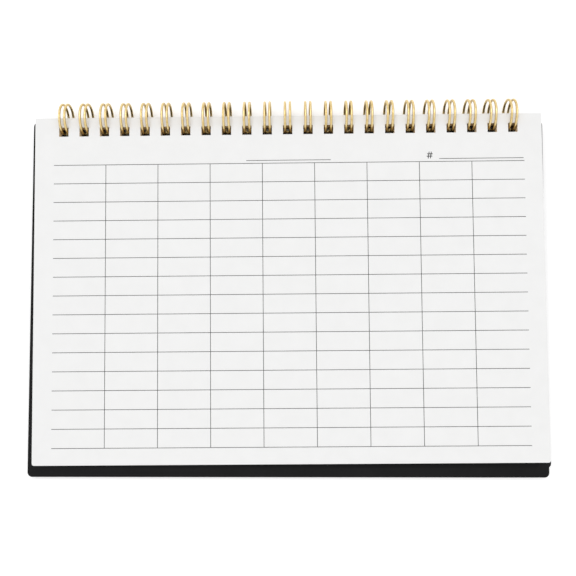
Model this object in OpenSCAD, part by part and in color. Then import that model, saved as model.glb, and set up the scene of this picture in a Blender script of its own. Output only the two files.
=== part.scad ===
// Top-bound accounting journal: ruled leaves on a twin-loop wire, with two stiff wrapped covers.
// It lies on a table, open at its first leaf, with the front cover folded round behind the back cover.
// +X runs along the binding, +Y points from the reader to the binding, +Z is up. The table is at Z = 0.

/* [Leaves] */
// Width of a leaf, along the binding
leaf_w = 210; // [200:1:230]
// Depth of a leaf, from the binding edge to the reader's edge
leaf_d = 143; // [120:1:160]
// Thickness of the paper
leaf_t = 0.092; // [0.08:0.001:0.094]
// Distance from one leaf to the next in the pad
leaf_pitch = 0.095; // [0.095:0.001:0.096]
// Radius of the two corners at the reader's edge
leaf_corner_r = 1.0; // [0.5:0.1:5]
// Distance from the binding edge to the middle of the holes
leaf_hole_inset = 5.9; // [5.8:0.05:6.0]
// Depth of a leaf's hole, from the reader towards the binding
leaf_hole_d = 3.8; // [3.8:0.1:4.2]

/* [Covers] */
// Width of a cover, along the binding
cover_w = 214; // [212:1:220]
// Depth of a cover, from its binding edge to the reader's edge
cover_d = 148; // [146:1:150]
// Radius of a cover's corners
cover_corner_r = 2; // [1.5:0.5:6]
// Thickness of the stiff board
board_t = 0.95; // [0.8:0.05:0.95]
// Thickness of the leatherette wrap
wrap_t = 0.2; // [0.15:0.05:0.2]
// Thickness of the lining paper
liner_t = 0.15; // [0.1:0.05:0.15]
// Distance from the lining's edge to the cover's edge
liner_inset = 4; // [3:1:8]
// Distance from the lining's edge to the cover's binding edge, clear of the holes
liner_spine_inset = 14; // [12:1:20]
// Distance from a cover's binding edge to the middle of the holes
cover_hole_inset = 5.25; // [5.2:0.05:5.3]
// Sideways offset of the back cover from the leaves
back_cover_shift = -0.25; // [-1.5:0.05:1.5]
// Turn of the back cover in the play of its holes, seen from above
back_cover_turn = -0.42; // [-0.5:0.02:0.5]
// Sideways offset of the front cover from the leaves
front_cover_shift = 0; // [-1.5:0.1:1.5]

/* [Binding wire] */
// Distance from one loop pair to the next
loop_pitch = 8.4667; // [8.4667]
// Radius of a loop, at the middle of the wire
loop_r = 6.2; // [6.2:0.05:6.25]
// Diameter of the wire
wire_d = 1.0; // [0.9:0.05:1.0]
// Distance between the two strands of a loop pair
strand_gap = 2.1; // [2.0:0.1:2.3]
// Width of a punched hole
hole_w = 3.9; // [3.8:0.1:4.4]
// Depth of a cover's hole, from the reader towards the binding
cover_hole_d = 4.7; // [4.6:0.1:4.8]

/* [Hidden] */
$fn = 64;
loops = 23;
leaf_count = 40;
wire_r = wire_d / 2;
half_strand = strand_gap / 2;
cover_t = board_t + wrap_t + liner_t;
hair = 0.02;
cut = 1;

// Heights and edges in the pad's own frame: origin on the loops' axis, Y to the binding, Z out of the page
page_top = 3.4;
page_edge = -0.3;
back_edge = -1.4;
front_edge = 1.3;
pad_t = leaf_count * leaf_pitch;
back_top = page_top - pad_t - hair;
back_low = back_top - cover_t;

// The front cover hangs on the loops at an angle of 45 degrees below the reader's side
swing_angle = -45;
swing_y = -loop_r * cos(swing_angle);
swing_z = loop_r * sin(swing_angle);
front_top = swing_z + cover_t / 2;
front_low = swing_z - cover_t / 2;
front_reader_edge = front_edge - cover_d;
// The two covers meet at the reader's edge, so the front one leans by the wire's room between them
cover_clear = 0.05;
// Distance from the swing axis to the rest mount's point
rest_point_out = 70;
front_lean = asin((back_low - front_top - cover_clear) / (swing_y - front_reader_edge));

// The seam of the wire lies between the two covers
seam_angle = -24.2;
bend_r = 1.2;
tip_to_seam = 1.75;
arc_from = seam_angle + asin(bend_r / loop_r);
arc_to = 360 + seam_angle - tip_to_seam / loop_r * 180 / PI;
wire_sides = 6;
strand_steps = 11;
strand_step = (arc_to - arc_from) / strand_steps;
// The sections stand a little outside the loop, so that the flat stretches between them are as far inside it
facet_r = 2 * loop_r / (1 + cos(strand_step / 2));

// The journal rests on the loops and on the front cover's lining at the reader's edge, so the pad leans
rest_edge = front_reader_edge + liner_inset - swing_y;
corner_y = swing_y + rest_edge * cos(front_lean) + (front_low - swing_z) * sin(front_lean);
corner_z = swing_z - rest_edge * sin(front_lean) + (front_low - swing_z) * cos(front_lean);
rest_r = loop_r + wire_r;
pad_lean = asin(rest_r / norm([corner_y, corner_z])) - atan2(-corner_z, -corner_y);

// A point on the front cover's lower face, for its rest mount
rest_point_y = swing_y - rest_point_out * cos(front_lean) + (front_low - swing_z) * sin(front_lean);
rest_point_z = swing_z + rest_point_out * sin(front_lean) + (front_low - swing_z) * cos(front_lean);

// How far the turned back cover reaches to the reader, from the middle of its hole row
turn_reader = min([for (side = [-1, 1])
    (back_cover_shift + side * (cover_w / 2 - cover_corner_r)) * sin(back_cover_turn)])
    - (cover_d - cover_hole_inset - cover_corner_r) * cos(back_cover_turn) - cover_corner_r;

// The origin is under the middle of the whole object's box
reader_y = back_edge - cover_hole_inset + turn_reader;
reader_reach = reader_y * cos(pad_lean) - (back_top - liner_t) * sin(pad_lean);
axis_y = -(reader_reach + rest_r) / 2;
axis_z = rest_r;

function two(n) = n < 10 ? str("0", n) : str(n);
function leaf_name(n) = str("leaf_", two(n));
function loop_x(i) = (i - (loops - 1) / 2) * loop_pitch;
function unit(v) = v / norm(v);
// Angle round the loop that a length along the wire takes
function turn_of(length) = length / loop_r * 180 / PI;
function pad_to_table(p) =
    [p[0], axis_y + p[1] * cos(pad_lean) - p[2] * sin(pad_lean),
     axis_z + p[1] * sin(pad_lean) + p[2] * cos(pad_lean)];

// The wire's route, each point as a place along the binding and an angle round the loops:
// up one strand, round the tip, down the other strand, and along the seam to the next loop pair
function strand_up(x) = [for (k = [0:strand_steps]) [x, arc_from + k * strand_step]];
function strand_down(x) = [for (k = [0:strand_steps]) [x, arc_to - k * strand_step]];
function tip(x) = [for (a = [45:45:135]) [x - half_strand * cos(a), arc_to + turn_of(half_strand * sin(a))]];
function bend(x, side, a) = [x + side * bend_r * (1 - cos(a)), arc_from - turn_of(bend_r * sin(a))];
function seam(x0, x1) = [bend(x0, 1, 45), bend(x0, 1, 90), bend(x1, -1, 90), bend(x1, -1, 45)];
function loop_pair(i) = concat(
    strand_up(loop_x(i) - half_strand), tip(loop_x(i)), strand_down(loop_x(i) + half_strand),
    i < loops - 1 ? seam(loop_x(i) + half_strand, loop_x(i + 1) - half_strand) : []);
route = [for (i = [0:loops - 1]) each loop_pair(i)];
function wire_point(u) = [u[0], -facet_r * cos(u[1]), facet_r * sin(u[1])];
// One section of the wire, square to the route
function wire_section(k) =
    let (p = wire_point(route[k]),
         ahead = wire_point(route[min(k + 1, len(route) - 1)]),
         behind = wire_point(route[max(k - 1, 0)]),
         along = unit(ahead - behind),
         across = unit(cross(along, [0, -cos(route[k][1]), sin(route[k][1])])),
         outward = cross(across, along))
    [for (j = [0:wire_sides - 1])
        p + wire_r * (cos(360 / wire_sides * j) * outward + sin(360 / wire_sides * j) * across)];

// Least gap of the wire to itself, measured on points: a tip to the seam and strands below it,
// the two strands of a pair, and neighbouring pairs
tip_points = [for (a = [0:5:180]) wire_point([half_strand * cos(a), arc_to + turn_of(half_strand * sin(a))])];
base_route = [for (side = [-1, 1]) each concat(
    [for (a = [0:5:90]) bend(side * half_strand, side, a)],
    [for (x = [half_strand + bend_r:0.2:loop_pitch / 2]) [side * x, arc_from - turn_of(bend_r)]],
    [for (a = [arc_from:2:arc_from + 40]) [side * half_strand, a]])];
tip_gap = min([for (p = tip_points, u = base_route) norm(p - wire_point(u))]) - wire_d;
wire_gap = min(tip_gap, strand_gap - wire_d, loop_pitch - strand_gap - wire_d);
echo("least gap of the wire to itself, mm", wire_gap);
echo("loop axis, mm", pad_to_table([0, 0, 0]), "pad lean, degrees", pad_lean);
echo("cover swing axis, mm", pad_to_table([0, swing_y, swing_z]), "front cover lean, degrees", front_lean);
echo("front cover's lower face, a point, mm", pad_to_table([front_cover_shift, rest_point_y, rest_point_z]));

leaf_names = [for (n = [1:leaf_count]) leaf_name(n)];

// Stands what is drawn in the pad's frame on the table
module on_table() {
    translate([0, axis_y, axis_z]) rotate([pad_lean, 0, 0]) children();
}

// Puts the front cover, drawn level about its swing axis, at its lean
module at_front_cover() {
    on_table() translate([0, swing_y, swing_z]) rotate([-front_lean, 0, 0]) translate([0, -swing_y, -swing_z])
        children();
}

// Takes one corner off a sheet: the square outside a quarter circle
module corner_cut(r) {
    difference() {
        square(r + cut);
        circle(r);
    }
}

// Outline of a sheet from its binding edge at y = 0, with round corners where a radius is given
module sheet_outline(w, d, reader_r, spine_r) {
    difference() {
        translate([-w / 2, -d]) square([w, d]);
        for (side = [0, 1]) mirror([side, 0]) {
            translate([w / 2 - reader_r, -d + reader_r]) mirror([0, 1]) corner_cut(reader_r);
            if (spine_r > 0) translate([w / 2 - spine_r, -spine_r]) corner_cut(spine_r);
        }
    }
}

// The row of punched holes, at the loops, seen from a sheet that stands shift to the side
module hole_row(inset, depth, shift) {
    for (i = [0:loops - 1])
        translate([loop_x(i) - shift - hole_w / 2, -inset - depth / 2]) square([hole_w, depth]);
}

// The binding wire: one six-sided tube along the whole route
module wire_tube() {
    last = len(route) - 1;
    corners = [for (k = [0:last]) each wire_section(k)];
    sides = [for (k = [0:last - 1], j = [0:wire_sides - 1]) each
        let (a = k * wire_sides + j, b = k * wire_sides + (j + 1) % wire_sides)
            [[a, a + wire_sides, b], [b, a + wire_sides, b + wire_sides]]];
    ends = [for (j = [1:wire_sides - 2]) each
        [[0, j, j + 1], [last * wire_sides, last * wire_sides + j + 1, last * wire_sides + j]]];
    polyhedron(points = corners, faces = concat(sides, ends));
}

module binding_wire() {
    color("goldenrod") on_table() wire_tube();
}

// One leaf, counted from the top of the pad
module leaf(n) {
    z = page_top - n * leaf_pitch + (leaf_pitch - leaf_t) / 2;
    color("whitesmoke") on_table() translate([0, page_edge, z]) linear_extrude(leaf_t) difference() {
        sheet_outline(leaf_w, leaf_d, leaf_corner_r, 0);
        hole_row(leaf_hole_inset, leaf_hole_d, 0);
    }
}

// Outline of a cover's board, inside the wrap
module board_outline() {
    inner_r = cover_corner_r - wrap_t;
    sheet_outline(cover_w - 2 * wrap_t, cover_d - 2 * wrap_t, inner_r, inner_r);
}

// A cover's pieces are drawn with the outside down: the wrap lowest, then the board, then the lining
module cover_board(shift) {
    color("tan") translate([shift, -wrap_t, wrap_t]) linear_extrude(board_t) difference() {
        board_outline();
        hole_row(cover_hole_inset - wrap_t, cover_hole_d, shift);
    }
}

module cover_wrap(shift) {
    color("#1e1e20") translate([shift, 0, 0]) difference() {
        linear_extrude(wrap_t + board_t) sheet_outline(cover_w, cover_d, cover_corner_r, cover_corner_r);
        translate([0, -wrap_t, wrap_t]) linear_extrude(board_t + cut) board_outline();
        translate([0, 0, -cut]) linear_extrude(wrap_t + 2 * cut)
            hole_row(cover_hole_inset, cover_hole_d, shift);
    }
}

module cover_liner(shift) {
    color("#262628") translate([shift, -liner_spine_inset, wrap_t + board_t]) linear_extrude(liner_t)
        sheet_outline(cover_w - 2 * liner_inset, cover_d - liner_spine_inset - liner_inset, cover_corner_r,
                      cover_corner_r);
}

// The back cover lies with its outside down, turned a little about the middle of its hole row
module at_back_cover() {
    on_table() translate([0, back_edge - cover_hole_inset, back_low]) rotate([0, 0, back_cover_turn])
        translate([0, cover_hole_inset, 0]) children();
}

// The front cover is folded under with its outside up
module at_folded_cover() {
    at_front_cover() translate([0, front_edge, front_top]) mirror([0, 0, 1]) children();
}

binding_wire();
at_folded_cover() cover_board(front_cover_shift);  // front_cover_board
at_folded_cover() cover_wrap(front_cover_shift);  // front_cover_wrap
at_folded_cover() cover_liner(front_cover_shift);  // front_cover_liner
at_back_cover() cover_board(back_cover_shift);  // back_cover_board
at_back_cover() cover_wrap(back_cover_shift);  // back_cover_wrap
at_back_cover() cover_liner(back_cover_shift);  // back_cover_liner
for (n = [1:leaf_count]) leaf(n);
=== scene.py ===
import math

import bmesh
import bpy
from mathutils import Matrix, Vector


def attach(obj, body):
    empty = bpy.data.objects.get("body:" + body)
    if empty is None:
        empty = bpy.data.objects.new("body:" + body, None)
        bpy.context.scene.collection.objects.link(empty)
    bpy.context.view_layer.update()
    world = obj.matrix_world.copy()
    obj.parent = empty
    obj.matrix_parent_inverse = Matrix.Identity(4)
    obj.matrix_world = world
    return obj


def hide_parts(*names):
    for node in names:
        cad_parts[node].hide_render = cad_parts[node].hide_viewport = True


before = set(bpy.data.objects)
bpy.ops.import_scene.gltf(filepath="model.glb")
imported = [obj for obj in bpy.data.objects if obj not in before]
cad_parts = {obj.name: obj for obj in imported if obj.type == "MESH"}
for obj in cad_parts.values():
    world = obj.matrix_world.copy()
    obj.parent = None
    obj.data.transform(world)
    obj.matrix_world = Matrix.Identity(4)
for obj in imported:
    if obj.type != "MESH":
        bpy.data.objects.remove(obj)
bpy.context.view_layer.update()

MM = 0.001

# The pad's own frame, in millimetres: origin on the loops' axis, Y to the binding, Z out of the page
LOOP_AXIS = Vector((0, 71.7013, 6.7)) * MM
PAD_LEAN = math.radians(1.43594)
PAGE_TOP = 3.4
PAGE_EDGE = -0.3
LEAF_D = 143.0
LEAF_T = 0.092
LEAF_PITCH = 0.095
LEAF_HOLE_Y = -6.2
LEAF_HOLE_REACH = 2.2
HOLE_ROW_REACH = 100.0

# Covers, drawn with the outside down from their binding edge at y = 0
COVER_W = 214.0
COVER_D = 148.0
COVER_CORNER_R = 2.0
WRAP_T = 0.2
BOARD_T = 0.95
TURN_IN_T = 0.09
COVER_HOLE_INSET = 5.25
COVER_EDGE_R = 0.42
COVER_FLAT_INSET = 0.8
BACK_EDGE = -1.4
BACK_LOW = -1.72
BACK_SHIFT = -0.25
BACK_TURN = math.radians(-0.42)
FRONT_EDGE = 1.3
FRONT_TOP = -3.73406
FRONT_SHIFT = 0.0
FRONT_LEAN = math.radians(0.790748)
SWING = -4.38406
CORNER_STEPS = 10
EDGE_STEPS = 6
SHARP_ANGLE = math.radians(40)

# Binding wire
LOOPS = 23
LOOP_PITCH = 8.4667
LOOP_R = 6.2
WIRE_R = 0.5
HALF_STRAND = 1.05
HOLE_W = 3.9
COVER_HOLE_D = 4.7
HOLE_CUT = (-1, 3)
SEAM_ANGLE = -24.2
BEND_R = 1.2
TIP_TO_SEAM = 1.75
WIRE_SIDES = 14
STRAND_STEPS, TIP_STEPS, BEND_STEPS = 56, 12, 8
# The wire's rounded ends: distance past its last point, and share of its radius there
WIRE_END = [(0.12, 0.95), (0.28, 0.75), (0.35, 0.35)]

# Ruling, from the page's middle and its binding edge
RULE_W = 0.235
COLUMN = 21.628
COLUMNS = 9
ROW = 7.7525
ROWS = 15
FIRST_RULE = 19.84
RULING_SHIFT = 0.21
HEAD_LINE_RISE = 1.2
TITLE_LINE = (-17.2, 17.7)
NUMBER_LINE = (62.5, 97.2)
INK_LIFT_TOP = 0.004
INK_LIFT = 0.0013

# The number sign: two leaning posts and two bars
MARK_LEFT = 57.4
MARK_H = 2.8
MARK_RISE = 0.1
MARK_HALF_STROKE = 0.17
MARK_LEAN = 0.45
MARK_POSTS = (0.55, 1.45)
MARK_BARS = (0.34, 0.68)
MARK_BAR_W = 2.3
MARK_OVERHANG = 0.15

# Colours, from the low to the high values of each material's texture
PAPER_TONES = [(0.872, 0.872, 0.868), (0.892, 0.892, 0.889)]
# Painted shade, warmed by reflected gold, for the walls of the leaves' punched holes
PAINTED_HOLE_SHADE = (0.86, 0.72, 0.50, 1.0)
INK_TONES = [(0.010, 0.010, 0.011), (0.032, 0.032, 0.034)]
GOLD_TONES = [(0.70, 0.52, 0.21), (0.83, 0.65, 0.31), (0.91, 0.76, 0.44)]
# Painted shade on the wire's flanks
FLANK_SHADE_TONE = (0.60, 0.43, 0.17, 1.0)
LEATHERETTE_TONES = [(0.0046, 0.0046, 0.0050), (0.0076, 0.0076, 0.0081)]
LINING_TONES = [(0.0055, 0.0055, 0.0060), (0.0095, 0.0095, 0.0100)]
BOARD_TONES = [(0.115, 0.105, 0.092), (0.205, 0.190, 0.165)]
FLOOR_TONES = [(0.80, 0.80, 0.80), (0.82, 0.82, 0.82)]
WHITE = (1.0, 1.0, 1.0, 1.0)

# Floor, in metres: it is lifted where it is seen, so that it is white away from the shadow, but not
# under the covers, where the lift fades out between these distances from the middle into painted shade
FLOOR_HALF = 3.0
FLOOR_DROP = 0.00002
FLOOR_LIFT = 0.33
SHADE_FADE_ACROSS = (0.0995, 0.1055)
SHADE_FADE_DEEP = (0.0700, 0.0730)

# Studio light: grey levels from low to high, and how much the side beyond the binding counts as high
STUDIO_LEVELS = [(0.0, 0.06), (0.15, 0.20), (0.42, 0.72), (0.75, 0.97)]
STUDIO_LEAN = 0.35
LAMP_ENERGY = 0.70
LAMP_SPREAD = math.radians(40)
LAMP_TURN = [math.radians(a) for a in (-16, -11, 0)]

# Camera, from the middle of the page
SENSOR_W = 36.0
LENS = 43.125
CLIP_START = 0.01
CAMERA_STAND = Vector((2.4, -15.3, 282.3)) * MM
CAMERA_TURN = [math.radians(a) for a in (3.07, 0.59, -0.47)]

LEANING = Matrix.Translation(LOOP_AXIS) @ Matrix.Rotation(PAD_LEAN, 4, "X")
PAD = LEANING @ Matrix.Scale(MM, 4)


def place(x, y, z):
    """A matrix that moves by millimetres."""
    return Matrix.Translation((x, y, z))


# Materials


def new_material(name):
    """An empty node material with its shader and output, and a coordinate node in metres."""
    mat = bpy.data.materials.new(name)
    mat.use_nodes = True
    nodes, links = mat.node_tree.nodes, mat.node_tree.links
    nodes.clear()
    out = nodes.new("ShaderNodeOutputMaterial")
    shader = nodes.new("ShaderNodeBsdfPrincipled")
    links.new(shader.outputs["BSDF"], out.inputs["Surface"])
    coord = nodes.new("ShaderNodeTexCoord")
    return mat, nodes, links, shader, coord


def noise(nodes, links, coord, scale, detail=4.0, stretch=None):
    """A noise texture in object metres, stretched along an axis where asked."""
    tex = nodes.new("ShaderNodeTexNoise")
    tex.inputs["Scale"].default_value = scale
    tex.inputs["Detail"].default_value = detail
    source = coord.outputs["Object"]
    if stretch:
        mapping = nodes.new("ShaderNodeMapping")
        mapping.inputs["Scale"].default_value = stretch
        links.new(source, mapping.inputs["Vector"])
        source = mapping.outputs["Vector"]
    links.new(source, tex.inputs["Vector"])
    return tex.outputs["Fac"]


def ramp(nodes, links, value, positions, colours):
    """A colour ramp over a value, with a colour at each position."""
    node = nodes.new("ShaderNodeValToRGB")
    elements = node.color_ramp.elements
    while len(elements) < len(colours):
        elements.new(0.5)
    for element, position, colour in zip(elements, positions, colours):
        element.position = position
        element.color = (*colour, 1.0)
    links.new(value, node.inputs["Fac"])
    return node.outputs["Color"]


def span(nodes, links, value, low, high, start=0.3, end=0.7):
    """A value mapped to a range, by default from the middle of a noise."""
    node = nodes.new("ShaderNodeMapRange")
    node.inputs["From Min"].default_value = start
    node.inputs["From Max"].default_value = end
    node.inputs["To Min"].default_value = low
    node.inputs["To Max"].default_value = high
    links.new(value, node.inputs["Value"])
    return node.outputs["Result"]


def bump(nodes, links, shader, height, strength, distance):
    """Relief on a shader from a height."""
    node = nodes.new("ShaderNodeBump")
    node.inputs["Strength"].default_value = strength
    node.inputs["Distance"].default_value = distance
    links.new(height, node.inputs["Height"])
    links.new(node.outputs["Normal"], shader.inputs["Normal"])


def near(nodes, links, value, middle, reach):
    """1 where a value is within reach of a middle, otherwise 0."""
    node = nodes.new("ShaderNodeMath")
    node.operation = "COMPARE"
    node.inputs[1].default_value = middle
    node.inputs[2].default_value = reach
    links.new(value, node.inputs[0])
    return node.outputs[0]


def product(nodes, links, *values):
    """Values multiplied together."""
    total = values[0]
    for value in values[1:]:
        node = nodes.new("ShaderNodeMath")
        node.operation = "MULTIPLY"
        links.new(total, node.inputs[0])
        links.new(value, node.inputs[1])
        total = node.outputs[0]
    return total


def scaled_sum(nodes, links, first, factor, second):
    """A value times a factor, plus another value."""
    node = nodes.new("ShaderNodeMath")
    node.operation = "MULTIPLY_ADD"
    node.inputs[1].default_value = factor
    links.new(first, node.inputs[0])
    links.new(second, node.inputs[2])
    return node.outputs[0]


def unsigned(nodes, links, value):
    """A value without its sign."""
    node = nodes.new("ShaderNodeMath")
    node.operation = "ABSOLUTE"
    links.new(value, node.inputs[0])
    return node.outputs[0]


def axes_of(nodes, links, vector):
    """The X, Y and Z of a vector, as named outputs."""
    node = nodes.new("ShaderNodeSeparateXYZ")
    links.new(vector, node.inputs[0])
    return node.outputs


def blend_colours(nodes, links, factor, first, second, kind="MIX"):
    """Two colours mixed by a factor, which is a link or a number."""
    node = nodes.new("ShaderNodeMix")
    node.data_type = "RGBA"
    node.blend_type = kind
    for value, socket in ((factor, node.inputs[0]), (first, node.inputs[6]), (second, node.inputs[7])):
        if isinstance(value, bpy.types.NodeSocket):
            links.new(value, socket)
        else:
            socket.default_value = value
    return node.outputs[2]


def hole_shade_mask(nodes, links, coord):
    """1 where painted shade goes: the walls of a leaf's punched holes, by the side that a face looks to and
    its place in the row.
    """
    facing = axes_of(nodes, links, coord.outputs["Normal"])
    where = axes_of(nodes, links, coord.outputs["Object"])
    row = (PAD @ Vector((0, LEAF_HOLE_Y, PAGE_TOP / 2))).y
    return product(nodes, links, near(nodes, links, facing["Z"], middle=0.0, reach=0.5),
                   near(nodes, links, where["X"], middle=0.0, reach=HOLE_ROW_REACH * MM),
                   near(nodes, links, where["Y"], middle=row, reach=LEAF_HOLE_REACH * MM))


def paper_material():
    """White writing paper: faint clouds and fibres, each leaf a shade apart, and painted shade warmed by
    reflected gold in its holes.
    """
    mat, nodes, links, shader, coord = new_material("ledger_paper")
    clouds = noise(nodes, links, coord, scale=160, detail=3)
    tone = ramp(nodes, links, clouds, (0.3, 0.7), PAPER_TONES)
    info = nodes.new("ShaderNodeObjectInfo")
    shade = span(nodes, links, info.outputs["Random"], low=0.955, high=1.0, start=0.0, end=1.0)
    tinted = blend_colours(nodes, links, 1.0, tone, shade, "MULTIPLY")
    # Painted shade, warmed by reflected gold, on the hole walls
    hole_shaded = blend_colours(nodes, links, hole_shade_mask(nodes, links, coord), tinted, PAINTED_HOLE_SHADE)
    links.new(hole_shaded, shader.inputs["Base Color"])
    fibres = noise(nodes, links, coord, scale=2600, detail=6, stretch=(1.0, 0.45, 1.0))
    links.new(span(nodes, links, fibres, low=0.62, high=0.78), shader.inputs["Roughness"])
    bump(nodes, links, shader, fibres, strength=0.25, distance=0.00002)
    shader.inputs["Specular IOR Level"].default_value = 0.2
    return mat


def ink_material():
    """Dark grey printing ink, a little uneven where the paper's fibres show."""
    mat, nodes, links, shader, coord = new_material("ruling_ink")
    grain = noise(nodes, links, coord, scale=4000, detail=4)
    links.new(ramp(nodes, links, grain, (0.3, 0.75), INK_TONES), shader.inputs["Base Color"])
    links.new(span(nodes, links, grain, low=0.55, high=0.75), shader.inputs["Roughness"])
    shader.inputs["Specular IOR Level"].default_value = 0.15
    return mat


def flank_shade_mask(nodes, links, coord):
    """0 to 1 towards the sides of the strands that face along the binding, where painted shade goes."""
    facing = axes_of(nodes, links, coord.outputs["Normal"])
    return span(nodes, links, unsigned(nodes, links, facing["X"]), low=0.0, high=1.0, start=0.45, end=0.95)


def gold_material():
    """Gold-finished steel wire: small changes of tone and polish, and painted brown shade on the flanks."""
    mat, nodes, links, shader, coord = new_material("gold_wire_finish")
    tone = noise(nodes, links, coord, scale=900, detail=4)
    gold = ramp(nodes, links, tone, (0.25, 0.5, 0.8), GOLD_TONES)
    # Painted shade: the flanks that face along the binding are browner
    flank_shaded = blend_colours(nodes, links, flank_shade_mask(nodes, links, coord), gold, FLANK_SHADE_TONE)
    links.new(flank_shaded, shader.inputs["Base Color"])
    polish = noise(nodes, links, coord, scale=2400, detail=5)
    links.new(span(nodes, links, polish, low=0.28, high=0.40), shader.inputs["Roughness"])
    bump(nodes, links, shader, polish, strength=0.12, distance=0.00002)
    shader.inputs["Metallic"].default_value = 1.0
    return mat


def leatherette_material():
    """Black leatherette: fine pebbled grain, in patches of slightly different black."""
    mat, nodes, links, shader, coord = new_material("black_leatherette")
    cells = nodes.new("ShaderNodeTexVoronoi")
    cells.feature = "SMOOTH_F1"
    cells.inputs["Scale"].default_value = 1700
    links.new(coord.outputs["Object"], cells.inputs["Vector"])
    fine = noise(nodes, links, coord, scale=3600, detail=4)
    grain = scaled_sum(nodes, links, fine, 0.5, cells.outputs["Distance"])
    patches = noise(nodes, links, coord, scale=70, detail=4)
    links.new(ramp(nodes, links, patches, (0.3, 0.7), LEATHERETTE_TONES), shader.inputs["Base Color"])
    links.new(span(nodes, links, grain, low=0.42, high=0.62, start=0.3, end=1.0), shader.inputs["Roughness"])
    bump(nodes, links, shader, grain, strength=0.35, distance=0.00005)
    shader.inputs["Specular IOR Level"].default_value = 0.13
    return mat


def lining_material():
    """Black lining paper, matt, with long fibres."""
    mat, nodes, links, shader, coord = new_material("black_lining")
    fibres = noise(nodes, links, coord, scale=1800, detail=6, stretch=(0.3, 1.0, 1.0))
    links.new(ramp(nodes, links, fibres, (0.3, 0.75), LINING_TONES), shader.inputs["Base Color"])
    links.new(span(nodes, links, fibres, low=0.6, high=0.8), shader.inputs["Roughness"])
    bump(nodes, links, shader, fibres, strength=0.25, distance=0.00003)
    shader.inputs["Specular IOR Level"].default_value = 0.11
    return mat


def board_material():
    """Grey cardboard core, which shows only in the punched holes."""
    mat, nodes, links, shader, coord = new_material("grey_board")
    flecks = noise(nodes, links, coord, scale=2200, detail=6, stretch=(0.5, 0.5, 1.5))
    links.new(ramp(nodes, links, flecks, (0.3, 0.7), BOARD_TONES), shader.inputs["Base Color"])
    links.new(span(nodes, links, flecks, low=0.75, high=0.95), shader.inputs["Roughness"])
    bump(nodes, links, shader, flecks, strength=0.4, distance=0.00005)
    return mat


def seen_directly(nodes, links):
    """1 for rays from the camera, or from it by a reflection or through a clear surface."""
    path = nodes.new("ShaderNodeLightPath")
    value = path.outputs["Is Camera Ray"]
    for name in ("Is Glossy Ray", "Is Transmission Ray"):
        more = nodes.new("ShaderNodeMath")
        more.operation = "MAXIMUM"
        links.new(value, more.inputs[0])
        links.new(path.outputs[name], more.inputs[1])
        value = more.outputs[0]
    return value


# Mesh helpers


def scratch_object(name, bm):
    """An object from a bmesh, linked to the scene."""
    mesh = bpy.data.meshes.new(name)
    bm.to_mesh(mesh)
    bm.free()
    obj = bpy.data.objects.new(name, mesh)
    bpy.context.scene.collection.objects.link(obj)
    return obj


def to_object(name, bm, material, body):
    """A finished piece from a bmesh: named, dressed and riding on a body."""
    piece = scratch_object(name, bm)
    piece.data.materials.append(material)
    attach(piece, body)
    return piece


def add_box(bm, low, high):
    """A closed box between two corners."""
    size = [h - l for l, h in zip(low, high)]
    middle = [(h + l) / 2 for l, h in zip(low, high)]
    matrix = Matrix.Translation(middle) @ Matrix.Diagonal((*size, 1.0))
    bmesh.ops.create_cube(bm, size=1.0, matrix=matrix)


def skin(bm, rings):
    """A closed skin over rings of vertices, from the first to the last."""
    count = len(rings[0])
    for a, b in zip(rings, rings[1:]):
        for j in range(count):
            bm.faces.new((a[j], a[(j + 1) % count], b[(j + 1) % count], b[j]))
    bm.faces.new(list(reversed(rings[0])))
    bm.faces.new(rings[-1])


def round_off(bm):
    """Faces all turned outwards and shaded smooth."""
    bmesh.ops.recalc_face_normals(bm, faces=bm.faces)
    for face in bm.faces:
        face.smooth = True


def loop_x(i):
    """The place of a loop pair along the binding."""
    return (i - (LOOPS - 1) / 2) * LOOP_PITCH


# Binding wire


def turn_of(length):
    """The angle round a loop that a length along the wire takes, in degrees."""
    return math.degrees(length / LOOP_R)


def wire_route():
    """The route as places along the binding and angles round the loops."""
    start = SEAM_ANGLE + math.degrees(math.asin(BEND_R / LOOP_R))
    end = 360 + SEAM_ANGLE - turn_of(TIP_TO_SEAM)
    sweep = [start + (end - start) * k / STRAND_STEPS for k in range(STRAND_STEPS + 1)]
    tip = [math.pi * k / TIP_STEPS for k in range(1, TIP_STEPS)]
    bend = [math.pi / 2 * k / BEND_STEPS for k in range(1, BEND_STEPS + 1)]
    route = []
    for i in range(LOOPS):
        middle = loop_x(i)
        left, right = middle - HALF_STRAND, middle + HALF_STRAND
        route += [(left, a) for a in sweep]
        route += [(middle - HALF_STRAND * math.cos(a), end + turn_of(HALF_STRAND * math.sin(a))) for a in tip]
        route += [(right, a) for a in reversed(sweep)]
        if i == LOOPS - 1:
            break
        ahead = loop_x(i + 1) - HALF_STRAND
        falls = [(BEND_R * (1 - math.cos(a)), start - turn_of(BEND_R * math.sin(a))) for a in bend]
        route += [(right + out, angle) for out, angle in falls]
        route += [(ahead - out, angle) for out, angle in reversed(falls)]
    return route


def radial(angle):
    """The direction from the loops' axis at an angle round them."""
    a = math.radians(angle)
    return Vector((0, -math.cos(a), math.sin(a)))


def wire_ring(bm, middle, out, across, radius):
    """A ring of vertices round the wire."""
    turns = [2 * math.pi * j / WIRE_SIDES for j in range(WIRE_SIDES)]
    return [bm.verts.new(PAD @ (middle + radius * (math.cos(a) * out + math.sin(a) * across))) for a in turns]


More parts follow.
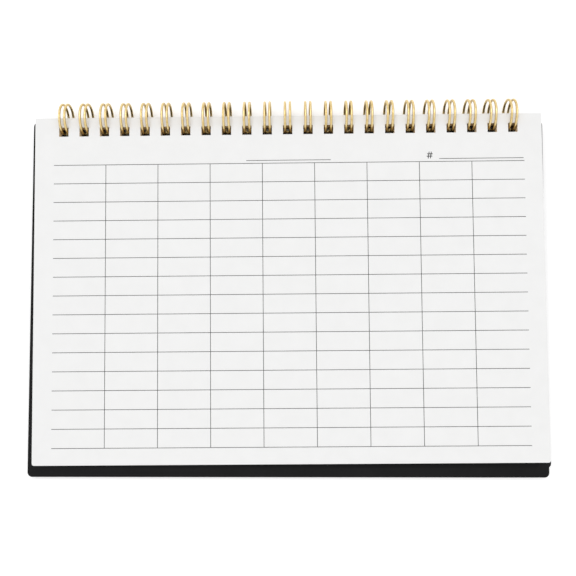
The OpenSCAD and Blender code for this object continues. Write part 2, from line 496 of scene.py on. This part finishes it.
def make_wire(material):
    """One smooth round wire through all the loops, with rounded cut ends."""
    route = wire_route()
    points = [Vector((x, 0, 0)) + LOOP_R * radial(angle) for x, angle in route]
    last = len(points) - 1
    bm = bmesh.new()
    rings = []
    for k, (point, (_, angle)) in enumerate(zip(points, route)):
        along = (points[min(k + 1, last)] - points[max(k - 1, 0)]).normalized()
        across = along.cross(radial(angle)).normalized()
        out = across.cross(along)
        stations = [(0.0, 1.0)]
        if k == 0:
            stations = [(-past, share) for past, share in reversed(WIRE_END)] + stations
        if k == last:
            stations = stations + WIRE_END
        rings += [wire_ring(bm, point + along * past, out, across, WIRE_R * share)
                  for past, share in stations]
    skin(bm, rings)
    round_off(bm)
    wire = to_object("twin_loop_wire", bm, material, "binding_wire")
    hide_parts("binding_wire")


# Covers


def rounded_outline(inset):
    """A cover's outline, counter-clockwise, drawn in from its edge."""
    r = COVER_CORNER_R - inset
    x = COVER_W / 2 - COVER_CORNER_R
    binding, reader = -COVER_CORNER_R, -COVER_D + COVER_CORNER_R
    points = []
    for cx, cy, start in ((x, binding, 0), (-x, binding, 90), (-x, reader, 180), (x, reader, 270)):
        for k in range(CORNER_STEPS + 1):
            a = math.radians(start + 90 * k / CORNER_STEPS)
            points.append((cx + r * math.cos(a), cy + r * math.sin(a)))
    return points


def edge_profile():
    """A cover's edge from its outside to its inside, as (distance in from the edge, height)."""
    top = WRAP_T + BOARD_T + TURN_IN_T
    r = COVER_EDGE_R
    turn = [math.pi / 2 * k / EDGE_STEPS for k in range(EDGE_STEPS + 1)]
    low = [(r * (1 - math.sin(a)), r * (1 - math.cos(a))) for a in turn]
    high = [(inset, top - z) for inset, z in reversed(low)]
    return [(COVER_FLAT_INSET, 0.0)] + low + high + [(COVER_FLAT_INSET, top)]


def slab(profile, shift):
    """A solid with a cover's outline, drawn in by the profile's distance at each of its heights."""
    bm = bmesh.new()
    skin(bm, [[bm.verts.new((x + shift, y, z)) for x, y in rounded_outline(inset)] for inset, z in profile])
    return bm


def hole_blocks():
    """The punched holes as solids."""
    bm = bmesh.new()
    low_z, high_z = HOLE_CUT
    for i in range(LOOPS):
        add_box(bm, (loop_x(i) - HOLE_W / 2, -COVER_HOLE_INSET - COVER_HOLE_D / 2, low_z),
                (loop_x(i) + HOLE_W / 2, -COVER_HOLE_INSET + COVER_HOLE_D / 2, high_z))
    return bm


def cut_away(obj, bm):
    """Takes a solid out of an object's mesh."""
    tool = scratch_object("cutter", bm)
    modifier = obj.modifiers.new("cut", "BOOLEAN")
    modifier.operation = "DIFFERENCE"
    modifier.solver = "EXACT"
    modifier.object = tool
    bpy.context.view_layer.update()
    done = bpy.data.meshes.new_from_object(obj.evaluated_get(bpy.context.evaluated_depsgraph_get()))
    obj.modifiers.clear()
    obj.data = done
    bpy.data.objects.remove(tool)


def make_wrap(side, shift, matrix, material):
    """A cover's wrap, turned over the board's edges and in under the lining, in place of its plain solid."""
    board_room = [(WRAP_T, WRAP_T), (WRAP_T, WRAP_T + BOARD_T)]
    obj = scratch_object("shell", slab(edge_profile(), shift))
    cut_away(obj, slab(board_room, shift))
    cut_away(obj, hole_blocks())
    bm = bmesh.new()
    bm.from_mesh(obj.data)
    bpy.data.objects.remove(obj)
    bmesh.ops.transform(bm, matrix=matrix, verts=bm.verts)
    round_off(bm)
    wrap = to_object(side + "_leatherette", bm, material, side + "_cover")
    wrap.data.set_sharp_from_angle(angle=SHARP_ANGLE)
    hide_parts(side + "_cover_wrap")


def make_covers(leatherette):
    """The wraps of the back cover, turned in its holes' play, and of the front cover, folded behind it."""
    back = (PAD @ place(0, BACK_EDGE - COVER_HOLE_INSET, BACK_LOW) @ Matrix.Rotation(BACK_TURN, 4, "Z")
            @ place(0, COVER_HOLE_INSET, 0))
    lean = place(0, SWING, SWING) @ Matrix.Rotation(-FRONT_LEAN, 4, "X") @ place(0, -SWING, -SWING)
    front = PAD @ lean @ place(0, FRONT_EDGE, FRONT_TOP) @ Matrix.Scale(-1, 4, (0, 0, 1))
    make_wrap("back", BACK_SHIFT, back, leatherette)
    make_wrap("front", FRONT_SHIFT, front, leatherette)


# Ruling


def ruling_strips():
    """The printed strips of one page as (x0, x1, distance from the binding edge, and its end)."""
    half = RULE_W / 2
    left = RULING_SHIFT - COLUMN * COLUMNS / 2
    right = left + COLUMN * COLUMNS
    rules = [FIRST_RULE + ROW * k for k in range(ROWS + 1)]
    strips = [(left, right, y - half, y + half) for y in rules]
    for k in range(1, COLUMNS):
        x = left + COLUMN * k
        strips += [(x - half, x + half, a + half, b - half) for a, b in zip(rules, rules[1:])]
    base = FIRST_RULE - HEAD_LINE_RISE
    return strips + [(a, b, base - half, base + half) for a, b in (TITLE_LINE, NUMBER_LINE)]


def number_mark():
    """Four strokes of a plain number sign beside the number line, as quads on the page."""
    base = FIRST_RULE - HEAD_LINE_RISE - MARK_RISE
    head = base - MARK_H
    half = MARK_HALF_STROKE
    quads = []
    for post in MARK_POSTS:
        x = MARK_LEFT + post
        lean_x = x + MARK_LEAN
        quads.append([(x - half, base), (x + half, base), (lean_x + half, head), (lean_x - half, head)])
    for rise in MARK_BARS:
        y = base - MARK_H * rise
        x = MARK_LEFT + MARK_LEAN * rise - MARK_OVERHANG
        end = x + MARK_BAR_W
        quads.append([(x, y + half), (end, y + half), (end, y - half), (x, y - half)])
    return quads


def make_ruling(leaf, body, material, under=False):
    """The ruling of one side of a leaf, as a film of ink on the paper."""
    top = PAGE_TOP - leaf * LEAF_PITCH + (LEAF_PITCH - LEAF_T) / 2 + LEAF_T
    lift = INK_LIFT_TOP if leaf == 1 and not under else INK_LIFT
    z = top - LEAF_T - lift if under else top + lift
    bm = bmesh.new()
    quads = [[(a, d), (b, d), (b, c), (a, c)] for a, b, c, d in ruling_strips()] + number_mark()
    for quad in quads:
        corners = [(-x if under else x, PAGE_EDGE - y, z) for x, y in quad]
        if under:
            corners.reverse()
        bm.faces.new([bm.verts.new(PAD @ Vector(c)) for c in corners])
    side = "reverse" if under else "ruling"
    to_object(f"leaf_{leaf:02d}_{side}", bm, material, body)


def make_print(material):
    """The ruling of both sides of each leaf that turns alone, and of each wad's outer sides."""
    for leaf in (1, 2, 3):
        make_ruling(leaf, f"leaf_{leaf:02d}", material)
        make_ruling(leaf, f"leaf_{leaf:02d}", material, under=True)
    for wad, first, last in (("upper_wad", 4, 20), ("lower_wad", 21, 40)):
        make_ruling(first, wad, material)
        make_ruling(last, wad, material, under=True)


def dress_frame(paper, board, lining):
    """Finishes of the solids that stay as they are."""
    for name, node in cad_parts.items():
        finish = paper if name.startswith("leaf_") else board if name.endswith("_board") else lining
        node.data.materials.clear()
        node.data.materials.append(finish)


# Stage, light and camera


def floor_material():
    """A plain pale floor that keeps the shadow: lit as any surface, lifted outside the covers, with painted
    shade under them.
    """
    mat, nodes, links, shader, coord = new_material("pale_floor")
    cloud = noise(nodes, links, coord, scale=3, detail=2)
    links.new(ramp(nodes, links, cloud, (0.3, 0.7), FLOOR_TONES), shader.inputs["Base Color"])
    shader.inputs["Roughness"].default_value = 1.0
    shader.inputs["Specular IOR Level"].default_value = 0.0
    shader.inputs["Emission Color"].default_value = WHITE
    where = axes_of(nodes, links, coord.outputs["Object"])
    shade_fades = [span(nodes, links, unsigned(nodes, links, where[axis]), 1.0, 0.0, *fade)
             for axis, fade in (("X", SHADE_FADE_ACROSS), ("Y", SHADE_FADE_DEEP))]
    # Painted shade: the floor's lift fades out under the covers
    under = product(nodes, links, *shade_fades)
    lift = span(nodes, links, under, low=FLOOR_LIFT, high=0.0, start=0.0, end=1.0)
    links.new(product(nodes, links, seen_directly(nodes, links), lift), shader.inputs["Emission Strength"])
    return mat


def make_floor():
    """The floor, a hair below the object."""
    bm = bmesh.new()
    bmesh.ops.create_grid(bm, x_segments=4, y_segments=4, size=FLOOR_HALF)
    floor = scratch_object("floor", bm)
    floor.data.materials.append(floor_material())
    floor.location = (0, 0, -FLOOR_DROP)


def make_world():
    """A studio: bright overhead and beyond the binding, dim behind the camera, white where seen."""
    world = bpy.data.worlds.new("studio")
    bpy.context.scene.world = world
    world.use_nodes = True
    nodes, links = world.node_tree.nodes, world.node_tree.links
    nodes.clear()
    out = nodes.new("ShaderNodeOutputWorld")
    coord = nodes.new("ShaderNodeTexCoord")
    toward = axes_of(nodes, links, coord.outputs["Generated"])
    height = scaled_sum(nodes, links, toward["Y"], STUDIO_LEAN, toward["Z"])
    positions, levels = zip(*STUDIO_LEVELS)
    greys = [(level, level, level) for level in levels]
    studio = nodes.new("ShaderNodeBackground")
    links.new(ramp(nodes, links, height, positions, greys), studio.inputs["Color"])
    white = nodes.new("ShaderNodeBackground")
    white.inputs["Color"].default_value = WHITE
    mix = nodes.new("ShaderNodeMixShader")
    links.new(seen_directly(nodes, links), mix.inputs[0])
    links.new(studio.outputs[0], mix.inputs[1])
    links.new(white.outputs[0], mix.inputs[2])
    links.new(mix.outputs[0], out.inputs["Surface"])


def make_lamp():
    """One large soft lamp, high on the left beyond the binding."""
    light = bpy.data.lights.new("soft_lamp", "SUN")
    light.energy = LAMP_ENERGY
    light.angle = LAMP_SPREAD
    lamp = bpy.data.objects.new("soft_lamp", light)
    lamp.rotation_euler = LAMP_TURN
    bpy.context.scene.collection.objects.link(lamp)


def make_camera():
    """The camera, placed over the page's middle in the page's own frame."""
    data = bpy.data.cameras.new("camera")
    data.sensor_width = SENSOR_W
    data.lens = LENS
    data.clip_start = CLIP_START
    camera = bpy.data.objects.new("camera", data)
    page = Matrix.Translation(Vector((0, PAGE_EDGE - LEAF_D / 2, PAGE_TOP)) * MM)
    about_x, about_y, about_z = [Matrix.Rotation(a, 4, axis) for a, axis in zip(CAMERA_TURN, "XYZ")]
    camera.matrix_world = LEANING @ page @ Matrix.Translation(CAMERA_STAND) @ about_z @ about_y @ about_x
    bpy.context.scene.collection.objects.link(camera)
    bpy.context.scene.camera = camera


make_camera()
make_floor()
make_world()
make_lamp()
bpy.context.scene.view_settings.view_transform = "Standard"
dress_frame(paper_material(), board_material(), lining_material())
make_wire(gold_material())
make_covers(leatherette_material())
make_print(ink_material())
